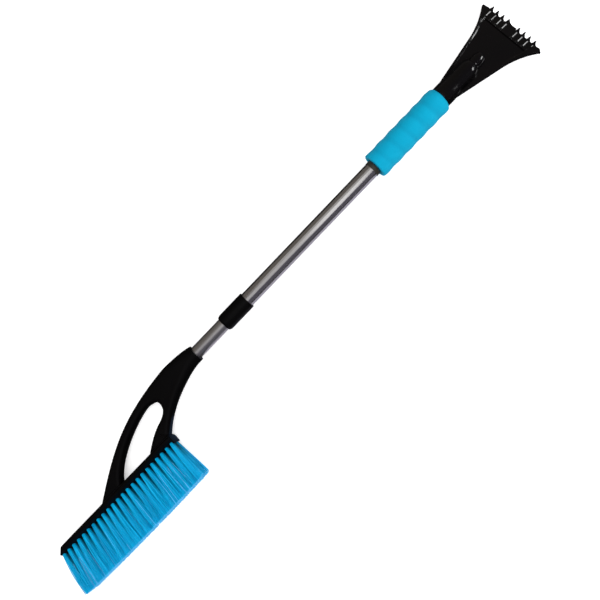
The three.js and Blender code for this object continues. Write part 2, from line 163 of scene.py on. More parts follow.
def turned(name, profile, closed=True, sides=SMOOTH_SIDES):
    """A body turned about the stick's direction from [x, radius] points. An open profile ends on the axis."""
    verts, faces, rings = [], [], []
    for x, radius in profile:
        if radius < 1e-6:
            rings.append([len(verts)] * sides)
            verts.append((x, 0, 0))
            continue
        rings.append(list(range(len(verts), len(verts) + sides)))
        verts += [(x, radius * sine, radius * cosine) for cosine, sine in circle(sides)]
    pairs = list(zip(rings, rings[1:]))
    if closed:
        pairs.append((rings[-1], rings[0]))
    for a, b in pairs:
        for k in range(sides):
            n = (k + 1) % sides
            faces.append(list(dict.fromkeys((a[k], a[n], b[n], b[k]))))
    return new_object(name, verts, faces)


def require_closed(obj):
    """Stops the script if a shape has an open edge, because the boolean solver would skip it in silence."""
    bm = bmesh.new()
    bm.from_mesh(obj.data)
    open_count = sum(not edge.is_manifold for edge in bm.edges)
    bm.free()
    if open_count:
        raise ValueError(f"{obj.name} has {open_count} open edges")


def boolean(obj, other, operation):
    """Joins or cuts obj with another closed object, which is used up."""
    require_closed(obj)
    require_closed(other)
    before = len(obj.data.vertices)
    modifier = obj.modifiers.new("cut", "BOOLEAN")
    modifier.operation = operation
    modifier.solver = "MANIFOLD"
    modifier.object = other
    bpy.context.view_layer.update()
    graph = bpy.context.evaluated_depsgraph_get()
    mesh = bpy.data.meshes.new_from_object(obj.evaluated_get(graph))
    obj.modifiers.clear()
    obj.data = mesh
    if len(mesh.vertices) == before:
        raise ValueError(f"joining {obj.name} with {other.name} changed nothing")
    bpy.data.objects.remove(other)


def bezier(a, b, c, d, step):
    """Points on a cubic curve from a up to but not including d, about so many millimetres apart."""
    a, b, c, d = (np.array(p, float) for p in (a, b, c, d))
    length = sum(np.linalg.norm(q - p) for p, q in ((a, b), (b, c), (c, d)))
    count = max(2, round(length / step))
    t = np.linspace(0, 1, count, endpoint=False)[:, None]
    return (1 - t) ** 3 * a + 3 * (1 - t) ** 2 * t * b + 3 * (1 - t) * t ** 2 * c + t ** 3 * d


def straight(a, b, step):
    """Points on a line from a up to but not including b."""
    a, b = np.array(a, float), np.array(b, float)
    count = max(1, round(np.linalg.norm(b - a) / step))
    t = np.linspace(0, 1, count, endpoint=False)[:, None]
    return a + (b - a) * t


def quadratic(a, b, c, step):
    """Points on a quadratic curve from a up to but not including c."""
    a, b, c = (np.array(p, float) for p in (a, b, c))
    return bezier(a, a + (b - a) * 2 / 3, c + (b - c) * 2 / 3, c, step)


def path(step, start, *legs):
    """Points from a start along legs that follow each other, without the last leg's end.

    A leg lists where it ends, and before that the one or two points that its curve leans towards.
    """
    parts = []
    for leg in legs:
        draw = (straight, quadratic, bezier)[len(leg) - 1]
        parts.append(draw(start, *leg, step))
        start = leg[-1]
    return np.concatenate(parts)


def distance_to(points, lines):
    """Each point's distance to the nearest of some open polylines."""
    best = np.full(len(points), 1e9)
    for line in lines:
        for start in range(0, len(line) - 1, 64):
            part = line[start:start + 65]
            a, d = part[:-1], np.diff(part, axis=0)
            rel = points[:, None] - a[None]
            t = np.clip((rel * d).sum(2) / np.maximum((d * d).sum(1), 1e-12), 0, 1)
            gap = np.sqrt(((rel - t[..., None] * d) ** 2).sum(2))
            best = np.minimum(best, gap.min(1))
    return best


def contains(points, loops):
    """Which points lie inside the loops, a hole's inside not counted."""
    inside = np.zeros(len(points), bool)
    for loop in loops:
        x0, y0 = loop.T
        x1, y1 = np.roll(loop, -1, 0).T
        for k in range(len(loop)):
            crosses = (y0[k] > points[:, 1]) != (y1[k] > points[:, 1])
            if not crosses.any():
                continue
            slope = (x1[k] - x0[k]) / (y1[k] - y0[k] + 1e-15)
            inside ^= crosses & (points[:, 0] < x0[k] + (points[:, 1] - y0[k]) * slope)
    return inside


def shifted(line, offset):
    """A polyline's points moved to its left by one offset or one for each point."""
    tangent = np.gradient(line, axis=0)
    tangent /= np.linalg.norm(tangent, axis=1)[:, None]
    normal = np.stack([-tangent[:, 1], tangent[:, 0]], 1)
    return line + normal * np.reshape(offset, (-1, 1))


def beside(line, offsets):
    """Points beside a polyline at each offset, positive to its left."""
    return np.concatenate([shifted(line, offset) for offset in offsets])


def thinned(points, gap):
    """The points without those closer than gap to an earlier one, on a coarse lattice."""
    seen, kept = set(), []
    for p in points:
        key = (round(p[0] / gap), round(p[1] / gap))
        if key not in seen:
            seen.add(key)
            kept.append(p)
    return np.array(kept)


def lattice(loops, step):
    """Points of a hexagonal lattice over the loops' box."""
    low, high = loops[0].min(0), loops[0].max(0)
    rows = []
    for j, y in enumerate(np.arange(low[1], high[1], step * 0.866)):
        x = np.arange(low[0] + (j % 2) * step / 2, high[0], step)
        rows.append(np.stack([x, np.full_like(x, y)], 1))
    return np.concatenate(rows)


def plate(name, loops, extra, step, top, bottom, closest=0.18, clear=(), band=0.0):
    """A closed body over a plan outline between two height functions of (points).

    It has the extra points, and a lattice of points that keeps off a band beside the clear lines.
    """
    grid = lattice(loops, step)
    if clear:
        grid = grid[distance_to(grid, clear) > band]
    inner = thinned(np.concatenate([extra, grid]), closest)
    inner = inner[contains(inner, loops)]
    rims = [np.vstack([loop, loop[:1]]) for loop in loops]
    inner = inner[distance_to(inner, rims) > closest / 2]
    edges, start = [], 0
    for loop in loops:
        count = len(loop)
        edges += [(start + k, start + (k + 1) % count) for k in range(count)]
        start += count
    flat = np.concatenate(list(loops) + [inner])
    made = delaunay_2d_cdt([Vector(p) for p in flat], edges, [], 1, 1e-6)
    points = np.array([tuple(v) for v in made[0]])
    outline = {tuple(sorted(made[1][k])) for k, olds in enumerate(made[4]) if olds}
    triangles = kept_triangles(points, np.array(made[2]), outline, loops)
    count = len(points)
    verts = np.concatenate([
        np.column_stack([points, top(points)]),
        np.column_stack([points, bottom(points)]),
    ])
    faces = triangles.tolist() + (triangles[:, ::-1] + count).tolist()
    for a, b in open_edges(triangles):
        faces.append([b, a, a + count, b + count])
    return new_object(name, verts, faces)


def bar(name, loops, extra, step, half, closest):
    """A plate that is as thick above the stick's middle as below it."""
    return plate(name, loops, extra, step, half, lambda points: -half(points), closest)


def triangle_edges(triangle):
    a, b, c = (int(v) for v in triangle)
    return (a, b), (b, c), (c, a)


def kept_triangles(points, triangles, outline, loops):
    """The triangles inside the loops. A patch bounded by outline edges is kept or dropped as a whole."""
    sharing = {}
    for index, triangle in enumerate(triangles):
        for edge in triangle_edges(triangle):
            sharing.setdefault(tuple(sorted(edge)), []).append(index)
    corners = points[triangles]
    u, v = corners[:, 1] - corners[:, 0], corners[:, 2] - corners[:, 0]
    areas = np.abs(u[:, 0] * v[:, 1] - u[:, 1] * v[:, 0])
    votes = np.where(contains(corners.mean(1), loops), areas, -areas)
    patch = np.full(len(triangles), -1)
    kept = np.zeros(len(triangles), bool)
    for seed in range(len(triangles)):
        if patch[seed] >= 0:
            continue
        patch[seed] = seed
        members = [seed]
        for index in members:
            for edge in triangle_edges(triangles[index]):
                key = tuple(sorted(edge))
                if key in outline:
                    continue
                for other in sharing[key]:
                    if patch[other] < 0:
                        patch[other] = seed
                        members.append(other)
        kept[members] = votes[members].sum() > 0
    return triangles[kept]


def open_edges(triangles):
    """The directed edges that only one triangle uses."""
    directed = {edge for triangle in triangles for edge in triangle_edges(triangle)}
    return [(a, b) for a, b in directed if (b, a) not in directed]


def drop(distance, radius):
    """How far a rounded edge lies below its flat at so much distance from the outline."""
    short = radius - np.minimum(distance, radius)
    return radius - np.sqrt(np.maximum(radius ** 2 - short ** 2, 0))


def smoothstep(low, high, value):
    t = np.clip((value - low) / (high - low), 0, 1)
    return t * t * (3 - 2 * t)


# ---- materials ----


class Nodes:
    """Short ways to add nodes to a node tree."""

    def __init__(self, tree):
        self.nodes, self.link = tree.nodes, tree.links.new

    def coordinates(self, scale=(1, 1, 1)):
        """Object coordinates, scaled along each axis."""
        place = self.nodes.new("ShaderNodeTexCoord")
        mapping = self.nodes.new("ShaderNodeMapping")
        mapping.inputs["Scale"].default_value = scale
        self.link(place.outputs["Object"], mapping.inputs["Vector"])
        return mapping.outputs["Vector"]

    def attribute(self, name):
        """A number that the mesh keeps for each of its points."""
        node = self.nodes.new("ShaderNodeAttribute")
        node.attribute_name = name
        return node.outputs["Fac"]

    def noise(self, vector, scale, detail=3.0, roughness=0.55):
        texture = self.nodes.new("ShaderNodeTexNoise")
        texture.inputs["Scale"].default_value = scale
        texture.inputs["Detail"].default_value = detail
        texture.inputs["Roughness"].default_value = roughness
        self.link(vector, texture.inputs["Vector"])
        return texture.outputs["Fac"]

    def remap(self, value, low, high, to_low, to_high):
        node = self.nodes.new("ShaderNodeMapRange")
        names = ("From Min", "From Max", "To Min", "To Max")
        for name, number in zip(names, (low, high, to_low, to_high)):
            node.inputs[name].default_value = number
        self.link(value, node.inputs["Value"])
        return node.outputs["Result"]

    def mix(self, factor, first, second):
        """A mix of two colours, each a fixed colour or another node's output."""
        node = self.nodes.new("ShaderNodeMix")
        node.data_type = "RGBA"
        self.link(factor, node.inputs["Factor"])
        for socket, colour in (("A", first), ("B", second)):
            target = [s for s in node.inputs if s.name == socket and s.type == "RGBA"][0]
            if isinstance(colour, tuple):
                target.default_value = (*colour, 1)
            else:
                self.link(colour, target)
        return [s for s in node.outputs if s.type == "RGBA"][0]

    def bump(self, bsdf, *heights):
        """Chains bumps of (height, strength, distance in metres) into the shader's normal."""
        normal = None
        for height, strength, distance in heights:
            node = self.nodes.new("ShaderNodeBump")
            node.inputs["Strength"].default_value = strength
            node.inputs["Distance"].default_value = distance
            self.link(height, node.inputs["Height"])
            if normal is not None:
                self.link(normal, node.inputs["Normal"])
            normal = node.outputs["Normal"]
        self.link(normal, bsdf.inputs["Normal"])


def new_material(name):
    """A node material, its nodes and its shader."""
    material = bpy.data.materials.new(name)
    material.use_nodes = True
    tree = material.node_tree
    return material, Nodes(tree), tree.nodes["Principled BSDF"]


def moulded_black(name, smooth, scuffed, specular):
    """Black moulded plastic with faint flow marks, and fine handling scuffs that dull its gloss."""
    material, add, bsdf = new_material(name)
    vector = add.coordinates()
    flow = add.noise(vector, 22, 2)
    add.link(add.mix(flow, (0.0007, 0.0007, 0.0009), (0.0018, 0.0015, 0.0015)), bsdf.inputs["Base Color"])
    scuffs = add.noise(add.coordinates((18, 260, 260)), 9, 6, 0.7)
    add.link(add.remap(scuffs, 0.35, 0.75, smooth, scuffed), bsdf.inputs["Roughness"])
    bsdf.inputs["Specular IOR Level"].default_value = specular
    peel, grain = add.noise(vector, 180, 2), add.noise(vector, 2600, 2)
    add.bump(bsdf, (peel, 0.1, 0.00006), (grain, 0.06, 0.00002))
    return material


def cyan_foam():
    """Closed-cell foam: matt, finely pitted and slightly mottled, with painted shade at the bottom of its
    pits, in the troughs between its waves and in its bore.
    """
    material, add, bsdf = new_material("cyan_foam")
    vector = add.coordinates()
    base = add.mix(add.noise(vector, 60, 4), (0.002, 0.24, 0.385), (0.003, 0.29, 0.45))
    cells = add.nodes.new("ShaderNodeTexVoronoi")
    cells.inputs["Scale"].default_value = 1500
    add.link(vector, cells.inputs["Vector"])
    pits = add.remap(cells.outputs["Distance"], 0, 0.35, 0, 1)
    # Painted shade: each pit gets darker towards its bottom.
    shade = add.remap(cells.outputs["Distance"], 0, 0.3, 0.55, 0)
    pitted = add.mix(shade, base, (0.002, 0.14, 0.3))
    # Painted shade from the mesh's stored values: up to a sixth of the way to a dark cyan in the troughs and
    # the bore.
    trough_shade = add.remap(add.attribute("painted_shade"), 0, 1, 0, 0.16)
    add.link(add.mix(trough_shade, pitted, (0.002, 0.12, 0.22)), bsdf.inputs["Base Color"])
    rough = add.noise(vector, 400, 3)
    add.link(add.remap(rough, 0.3, 0.7, 0.68, 0.9), bsdf.inputs["Roughness"])
    bsdf.inputs["Specular IOR Level"].default_value = 0.08
    add.bump(bsdf, (pits, 0.35, 0.00018), (rough, 0.3, 0.0002))
    return material


def cyan_nylon():
    """Nylon filaments, each a little different, with painted shade deep between the tufts, and pale at their
    cut tips.
    """
    material, add, bsdf = new_material("cyan_nylon")
    unshaded = add.mix(add.attribute("strand"), (0.0005, 0.31, 0.6), (0.001, 0.49, 0.82))
    # Painted shade: the strand's stored shade value turns its colour towards a near-black teal.
    body = add.mix(add.attribute("painted_shade"), unshaded, (0.0005, 0.022, 0.03))
    tip = add.remap(add.attribute("reach"), 0.985, 1, 0, 0.7)
    add.link(add.mix(tip, body, (0.22, 0.6, 1.0)), bsdf.inputs["Base Color"])
    dust = add.noise(add.coordinates((1, 0.1, 1)), 300, 2)
    add.link(add.remap(dust, 0.3, 0.7, 0.34, 0.5), bsdf.inputs["Roughness"])
    bsdf.inputs["Specular IOR Level"].default_value = 0.25
    return material


def drawn_aluminium(name, smooth, rough):
    """Aluminium tube with faint draw lines along its length."""
    material, add, bsdf = new_material(name)
    bsdf.inputs["Metallic"].default_value = 1.0
    lines = add.noise(add.coordinates((2.5, 700, 700)), 2.2, 4, 0.65)
    haze = add.noise(add.coordinates(), 14, 3)
    add.link(add.mix(haze, (0.60, 0.59, 0.58), (0.68, 0.67, 0.66)), bsdf.inputs["Base Color"])
    add.link(add.remap(lines, 0.3, 0.7, smooth, rough), bsdf.inputs["Roughness"])
    add.bump(bsdf, (lines, 0.02, 0.00001))
    return material


def plain_nylon(name, dark, light):
    """Plain moulded nylon or rubber for the bush, the rings and the plug."""
    material, add, bsdf = new_material(name)
    vector = add.coordinates()
    cloud = add.noise(vector, 90, 3)
    add.link(add.mix(cloud, dark, light), bsdf.inputs["Base Color"])
    add.link(add.remap(cloud, 0.3, 0.7, 0.4, 0.55), bsdf.inputs["Roughness"])
    add.bump(bsdf, (add.noise(vector, 1500, 2), 0.1, 0.00005))
    return material


def zinc_steel():
    """Zinc plated screws and pins."""
    material, add, bsdf = new_material("zinc_steel")
    bloom = add.noise(add.coordinates(), 700, 4)
    bsdf.inputs["Metallic"].default_value = 1.0
    add.link(add.mix(bloom, (0.42, 0.43, 0.45), (0.6, 0.61, 0.62)), bsdf.inputs["Base Color"])
    add.link(add.remap(bloom, 0.3, 0.7, 0.25, 0.45), bsdf.inputs["Roughness"])
    add.bump(bsdf, (bloom, 0.1, 0.00004))
    return material


BLACK = moulded_black("glossy_black", 0.12, 0.19, 0.35)
SATIN = moulded_black("satin_black", 0.36, 0.46, 0.08)
FOAM = cyan_foam()
NYLON = cyan_nylon()
ALUMINIUM = drawn_aluminium("polished_aluminium", 0.17, 0.23)
RUBBED_ALUMINIUM = drawn_aluminium("rubbed_aluminium", 0.3, 0.38)
WHITE_NYLON = plain_nylon("white_nylon", (0.68, 0.66, 0.6), (0.82, 0.8, 0.75))
GREY_NYLON = plain_nylon("grey_nylon", (0.1, 0.105, 0.11), (0.16, 0.165, 0.17))
RUBBER = plain_nylon("dark_rubber", (0.012, 0.011, 0.008), (0.03, 0.028, 0.02))
ZINC = zinc_steel()

# ---- tubes, collar and grip ----


def sleeve(name, node, radius, bore, cut, look):
    """A tube or ring as long as its node, with softened edges. The look is its body, slot and material."""
    start, end = along(node)
    profile = soften([(start, bore), (start, radius), (end, radius), (end, bore)], cut)
    dress(turned(name, profile), *look, [node])


def collar():
    """The smooth sleeve on the outer tube's mouth: a tapered nose at one end, a square end at the other."""
    start, end = along("collar_sleeve")
    bore = OUTER_R + FIT
    lip = INNER_R + 3 * FIT
    lip_end = start + 2.2
    outside = soften([
        (start, lip), (start, COLLAR_R - 1.5), (start + 3.2, COLLAR_R - 0.05), (start + 9, COLLAR_R),
        (end - 0.05, COLLAR_R), (end, bore), (lip_end, bore), (lip_end, lip),
    ], 0.8)
    dress(turned("collar", outside), "handle", "black_plastic", SATIN, ["collar_sleeve"])


FOAM_SIDES, FOAM_ROWS = 160, 132
FOAM_MEAN, FOAM_WAVE, FOAM_PITCH, FOAM_CREST = 19.1, 0.42, 22.3, 242  # the last is one crest's place
FOAM_SLANT, FOAM_TURN, FOAM_UNEVEN = 2.6, 0.7, 0.14
FOAM_SQUARE, FOAM_ROUND = 1.2, 4.6  # edge roundings at the brush's end and at the scraper's end
FOAM_BEVEL = [(0.3, 1.2), (1.0, 0)]  # its bore's mouths: so far inside an end, so far outside the bore


def foam_grip():
    """The foam sleeve: soft finger waves, a squarer end towards the brush and a round one at the scraper."""
    start, end = along("foam_grip")
    bore = OUTER_R + 2 * FIT
    verts, faces, foam_shade = [], [], []
    for i in range(FOAM_ROWS + 1):
        x = start + (end - start) * i / FOAM_ROWS
        edge = float(drop(np.array([x - start]), FOAM_SQUARE)[0] + drop(np.array([end - x]), FOAM_ROUND)[0])
        for k in range(FOAM_SIDES):
            angle = 2 * math.pi * k / FOAM_SIDES
            phase = x + FOAM_SLANT * math.sin(angle + FOAM_TURN) - FOAM_CREST
            swell = math.cos(2 * math.pi * phase / FOAM_PITCH)
            spot = Vector((x * 0.03, 1.2 * math.sin(angle), 1.2 * math.cos(angle)))
            radius = FOAM_MEAN + FOAM_WAVE * swell + FOAM_UNEVEN * noise.noise(spot) - edge
            verts.append((x, radius * math.sin(angle), radius * math.cos(angle)))
            # Painted shade: the deeper a point lies in a trough between the waves, the more it gets.
            foam_shade.append(max(0.0, -swell) ** 1.5)
    inside = [(end - inset, bore + wider) for inset, wider in FOAM_BEVEL]
    inside += [(start + inset, bore + wider) for inset, wider in reversed(FOAM_BEVEL)]
    for x, radius in inside:
        verts += [(x, radius * sine, radius * cosine) for cosine, sine in circle(FOAM_SIDES)]
        # The bore gets full painted shade.
        foam_shade += [1.0] * FOAM_SIDES
    rings = len(verts) // FOAM_SIDES
    for i in range(rings):
        faces += ring_faces(i * FOAM_SIDES, (i + 1) % rings * FOAM_SIDES, FOAM_SIDES)
    obj = new_object("foam_grip_body", verts, faces)
    store(obj, "painted_shade", foam_shade)
    dress(obj, "handle", "cyan_foam", FOAM, ["foam_grip"], 60)


# A screw's head: heights above its lowest point, and radii. Then its thread and its cross recess.
SCREW_HEAD = [(0, 0), (0, 1.4), (0.25, 2.5), (0.8, 3.0), (1.5, 3.0), (1.5, 1.5)]
THREAD_PITCH, THREAD_ROOT, THREAD_R, POINT_R = 0.9, 1.22, 1.5, 1.1
RECESS = (3.4, 0.75, 2.2)
# The screws' pockets: radii of head and shank, and for each its place along the stick and its two depths.
POCKET_R, SHANK_R, BELOW = 3.4, 1.75, -20
HUB_POCKET, NECK_POCKET = (374, -13.7, -7.6), (-150, -11.3, -6.2)


def stand_up(obj, x, y=0.0):
    """Turns a body that lies along the stick upright, and moves it along and across the stick."""
    centre = Matrix.Translation(Vector(STICK))
    obj.data.transform(centre @ Matrix.Rotation(-math.pi / 2, 4, "Y") @ centre.inverted())
    obj.data.transform(Matrix.Translation((x * MM, y * MM, 0)))


def screw(name, node, body):
    """A pan-head screw with a cross recess, its head in its pocket under the neck."""
    low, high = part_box(node)
    x, y = ((low.x + high.x) / 2 - STICK[0]) / MM, ((low.y + high.y) / 2 - STICK[1]) / MM
    head, tip = (low.z - STICK[2]) / MM, (high.z - STICK[2]) / MM
    profile = [(head + rise, radius) for rise, radius in SCREW_HEAD]
    z = profile[-1][0] + 0.5
    while z < tip - 1.4:
        profile += [(z, THREAD_ROOT), (z + THREAD_PITCH * 0.45, THREAD_R)]
        z += THREAD_PITCH
    profile += [(tip - 1.0, POINT_R), (tip, 0)]
    obj = turned(name, profile, closed=False, sides=48)
    stand_up(obj, x, y)
    for turn in (0, math.pi / 2):
        slot = bmesh.new()
        bmesh.ops.create_cube(slot, size=1)
        bmesh.ops.scale(slot, vec=[size * MM for size in RECESS], verts=slot.verts)
        bmesh.ops.rotate(slot, matrix=Matrix.Rotation(turn, 3, "Z"), verts=slot.verts)
        bmesh.ops.translate(slot, vec=(STICK[0] + x * MM, STICK[1] + y * MM, low.z), verts=slot.verts)
        mesh = bpy.data.meshes.new("slot")
        slot.to_mesh(mesh)
        slot.free()
        cutter = bpy.data.objects.new("slot", mesh)
        bpy.context.scene.collection.objects.link(cutter)
        boolean(obj, cutter, "DIFFERENCE")
    dress(obj, body, "zinc_steel", ZINC, [node])


def screw_pocket(x, top, tip):
    """A cutter for a screw's head pocket and shank hole, open below."""
    profile = [(BELOW, 0), (BELOW, POCKET_R), (top, POCKET_R), (top, SHANK_R), (tip, SHANK_R), (tip, 0)]
    obj = turned("pocket", profile, closed=False, sides=40)
    stand_up(obj, x)
    return obj


sleeve("tube_outer", "outer_tube", OUTER_R, OUTER_R - WALL, 0.3, ("handle", "aluminium", ALUMINIUM))
sleeve("tube_inner", "inner_tube", INNER_R, INNER_R - WALL, 0.3, ("brush", "aluminium", RUBBED_ALUMINIUM))
collar()
foam_grip()
sleeve("ring_stop", "grip_stop_ring", half_size("grip_stop_ring", 1), OUTER_R + FIT, 0.15,
       ("handle", "black_plastic", RUBBER))
screw("screw_scraper", "scraper_screw", "handle")
screw("screw_brush", "brush_screw", "brush")

# ---- scraper head ----

BLADE_ROOT, BLADE_BEND, GROOVE, LAND, LIP, TIP = 383, 455, 490.5, 503, 508.5, 515
FLOOR = -STICK[2] / MM
EAR_HALF, RIM_HEIGHT, POCKET_HALF = 53.5, 2.5, 37.4
GROOVE_DEPTH, GROOVE_HALF = 1.7, 35.8
DIP_PLACE, DIP_R, DIP_DEPTH = 518, 9.5, 0.9  # a round hollow at the middle of the lip
CHAMFER_PLACES, CHAMFER_HALVES = [450, 472, 486, GROOVE, LIP], [0.25, 1.0, 0.95, 0.5, 0.45]
# Offsets of the rows of points that carry the blade's edge, its groove, the hub's foot and, counted in half
# chamfers, the rims' inner walls.
EDGE_ROWS = [0.08, 0.2, 0.4, 0.7]
GROOVE_ROWS = [-1.5, -1.3, -1.17, -1.03, -0.9, 0, 0.9, 1.03, 1.17, 1.3, 1.5]
HUB_ROWS = [-0.9, -0.65, -0.45, -0.25, -0.05, 0.15, 0.35, 0.6, 0.85]
RIM_ROWS = [-2.3, -2, -1.5, -1, -0.5, 0, 0.5, 1, 1.3, 1.6]
# A rib's section: places across it, and its height there. Its lower side is a wide chamfer.
RIB_ASIDE, RIB_RISE = [-3.0, -2.7, -1.5, -1.2, 0.9, 1.2, 1.5], [0, 0.55, 0.96, 1, 1, 0.9, 0]
RIB_PLACES, RIB_HEIGHTS = [491.5, 495.5, 505, 508.5, TIP], [0, 1.75, 1.85, 1.0, 0.7]
RIB_ROWS = [-3.2, *RIB_ASIDE, 1.7, -2.3, -1.9, 0]
TOOTH_PITCH, TOOTH_SHIFT, NOTCH, CENTRE_EDGE = 9.65, 1.2, 507.5, 510.5
TEETH = [n * TOOTH_PITCH + TOOTH_SHIFT for n in (4, 3, 2, 1, -1, -2, -3, -4)]
HUB_PROFILE = [
    (364.5, 0), (364.5, 15.8), (379, 15.8), (391, 14.3), (418, 14.3), (425, 11.6), (427, 8.8),
    (438, 8.8), (445, 6.6), (447.5, 0),
]
HUB_CUTS = [0, 1.0, 3, 4, 3, 3, 2.5, 4, 4, 0]


def blade_side(sign, step):
    """One long edge of the blade in plan, from the hub to its ear."""
    edge = path(
        step, (BLADE_ROOT - 8, 14.4), [(BLADE_ROOT, 16)], [(BLADE_ROOT + 3, 16.7), (BLADE_ROOT + 7, 17.5)],
        [(BLADE_BEND, 31)], [(480, 36.5), (LIP - 5, EAR_HALF - 0.9)],
    )
    return edge * (1, sign)


def tooth_edge(y, after, step):
    """One spike's outline, from the notch before it to the notch after it."""
    return np.concatenate([
        quadratic((NOTCH + 0.4, y + 2.7), (NOTCH + 0.7, y + 1.9), (NOTCH + 2, y + 1.5), step),
        straight((NOTCH + 2, y + 1.5), (TIP - 1.0, y + 0.7), step),
        quadratic((TIP - 1.0, y + 0.7), (TIP + 0.3, y + 0.2), (TIP - 0.9, y - 0.8), step / 2),
        quadratic((TIP - 0.9, y - 0.8), (after + 2.0, y - 2.1), (after, y - 5.6), step),
    ])


def blade_loop(step=0.7):
    """The whole blade in plan, counter-clockwise seen from above."""
    ear, corner = (LIP - 2.9, EAR_HALF - 0.6), (LIP - 1.2, EAR_HALF - 2.6)
    front = [
        straight((LIP - 5, EAR_HALF - 0.9), ear, step),
        quadratic(ear, (LIP - 1.2, EAR_HALF - 0.4), corner, step / 2),
        straight(corner, (LIP + 0.3, TEETH[0] + 3.4), step),
    ]
    for y, after in zip(TEETH, TEETH[1:] + [None]):
        before_gap = after is not None and y - after > 1.5 * TOOTH_PITCH
        front.append(tooth_edge(y, CENTRE_EDGE if before_gap else NOTCH, step))
        if before_gap:
            front.append(straight((CENTRE_EDGE, y - 5.6), (CENTRE_EDGE, after + 2.4), step))
    front.append(path(
        step, (NOTCH, TEETH[-1] - 5.6), [(LIP, 4.6 - EAR_HALF)], [(LIP - 4.4, -EAR_HALF - 0.5)],
        [(LIP - 5, 0.9 - EAR_HALF)],
    ))
    loop = np.concatenate([blade_side(1, step)] + front + [blade_side(-1, step)[::-1]])
    return loop[::-1]


def pocket_line(step=0.5):
    """The foot of the rims' inner walls in plan, from the lip on one side round to the lip on the other."""
    left = path(
        step, (TIP + 3, POCKET_HALF), [(GROOVE + 2, POCKET_HALF)], [(GROOVE - 8, 36.6), (478, 33.5)],
        [(468, 30.2), (BLADE_BEND, 27.6)], [(BLADE_ROOT, 12.6)],
    )
    return left, (left * (1, -1))[::-1]


def hub_half(x):
    """The hub's half-width in plan at a place along the stick."""
    xs = [p[0] for p in HUB_PROFILE[1:]]
    return np.interp(x, xs, [p[1] for p in HUB_PROFILE[1:]], right=0)


def hub_outline():
    """The hub in plan beyond the neck, as an open line round its nose."""
    x = np.arange(BLADE_ROOT - 6, HUB_PROFILE[-1][0], 0.5)
    upper = np.column_stack([x, hub_half(x)])
    return np.concatenate([upper, (upper * (1, -1))[::-1]])


def chamfer_half(x):
    """Half the width of the chamfer at the foot of the rims' inner walls."""
    return np.interp(x, CHAMFER_PLACES, CHAMFER_HALVES)


def rim_share(inside, half):
    """How much of its height a rim has so far inside its wall's foot, which is a chamfer where it is wide."""
    place = inside / half
    low = 0.05 * np.interp(place, [1, 1.3], [1, 0])
    top = 0.42 * half * smoothstep(0.3, 0.5, half)
    return low + top * np.interp(place, [-1, 1], [1, 0]) + (0.95 - top) * np.interp(place, [-2, -1], [1, 0])


def blade_floor(x):
    """The height of the blade's upper face between its rims."""
    return np.interp(x, [BLADE_ROOT - 12, BLADE_ROOT, GROOVE, LIP, TIP], [3.8, 2.2, -12.5, -17, -18.2])


def blade_underside(x):
    """The height of the blade's lower face."""
    return np.interp(x, [BLADE_ROOT - 12, BLADE_ROOT, GROOVE, LAND, TIP], [-2, -3.5, -16.5, FLOOR, FLOOR])


def scraper_head():
    """The flared blade with its rims, ribs and spikes, grown together with the round hub."""
    loop = blade_loop()
    outline = [np.vstack([loop, loop[:1]])]
    left, right = pocket_line()
    pocket = np.concatenate([left, right])
    hub_line = hub_outline()

    def inside_pocket(points):
        gap = distance_to(points, [left, right])
        return np.where(contains(points, [pocket]), gap, -gap)

    def top(points):
        x, y = points.T
        edge = distance_to(points, outline)
        height = blade_floor(x)
        rise = np.interp(x, [GROOVE, LIP - 1, TIP], [RIM_HEIGHT, 0.9, 0.3])
        height += rise * rim_share(inside_pocket(points), chamfer_half(x))
        for tooth in TEETH:
            aside = y - tooth
            across = np.interp(aside, RIB_ASIDE, RIB_RISE)
            height = np.maximum(height, blade_floor(x) + across * np.interp(x, RIB_PLACES, RIB_HEIGHTS))
        depth = GROOVE_DEPTH * (1 - smoothstep(0.9, 1.3, np.abs(x - GROOVE)))
        height -= depth * smoothstep(0, 1.2, GROOVE_HALF - np.abs(y))
        height -= DIP_DEPTH * smoothstep(0, 1.5, DIP_R - np.hypot(x - DIP_PLACE, y))
        beyond = np.where(contains(points, [hub_line]), -1, 1) * distance_to(points, [hub_line])
        skirt = 1 - smoothstep(-0.1, 0.6, beyond)
        height += skirt * np.maximum(-0.6 - height, 0)
        return height - drop(edge, 0.7)

    def bottom(points):
        edge = distance_to(points, outline)
        recess = 0.8 * smoothstep(3.2, 4.4, edge) * smoothstep(0, 2, GROOVE - 4 - points[:, 0])
        low = np.maximum(blade_underside(points[:, 0]) + recess, FLOOR) + drop(edge, 0.4)
        return np.minimum(low, top(points) - 0.15)

    grid_x = np.arange(RIB_PLACES[0], TIP, 0.5)
    grid_y = np.arange(-36.5, 36.5, 0.8)
    extra = np.concatenate(
        [beside(outline[0], EDGE_ROWS)]
        + [np.column_stack([grid_x, np.full_like(grid_x, tooth + side)])
           for tooth in TEETH for side in RIB_ROWS]
        + [np.column_stack([np.full_like(grid_y, GROOVE + side), grid_y]) for side in GROOVE_ROWS]
        + [shifted(line, chamfer_half(line[:, 0]) * place) for line in (left, right) for place in RIM_ROWS]
        + [beside(hub_line, HUB_ROWS)]
    )
    blade = plate("scraper", [loop], extra, 1.3, top, bottom, clear=[left, right], band=2.4)
    hub = turned("hub", soften(HUB_PROFILE, HUB_CUTS, closed=False, steps=6), closed=False)
    boolean(blade, hub, "UNION")
    socket_end = along("outer_tube")[1] + 0.3
    socket_start, socket_r = HUB_PROFILE[0][0] - 4.5, OUTER_R + FIT
    corners = [(socket_start, 0), (socket_start, socket_r), (socket_end, socket_r), (socket_end, 0)]
    boolean(blade, turned("socket", corners, closed=False), "DIFFERENCE")
    boolean(blade, screw_pocket(*HUB_POCKET), "DIFFERENCE")
    dress(blade, "handle", "black_plastic", BLACK, ["scraper_head"], 38)


scraper_head()

# ---- brush frame ----

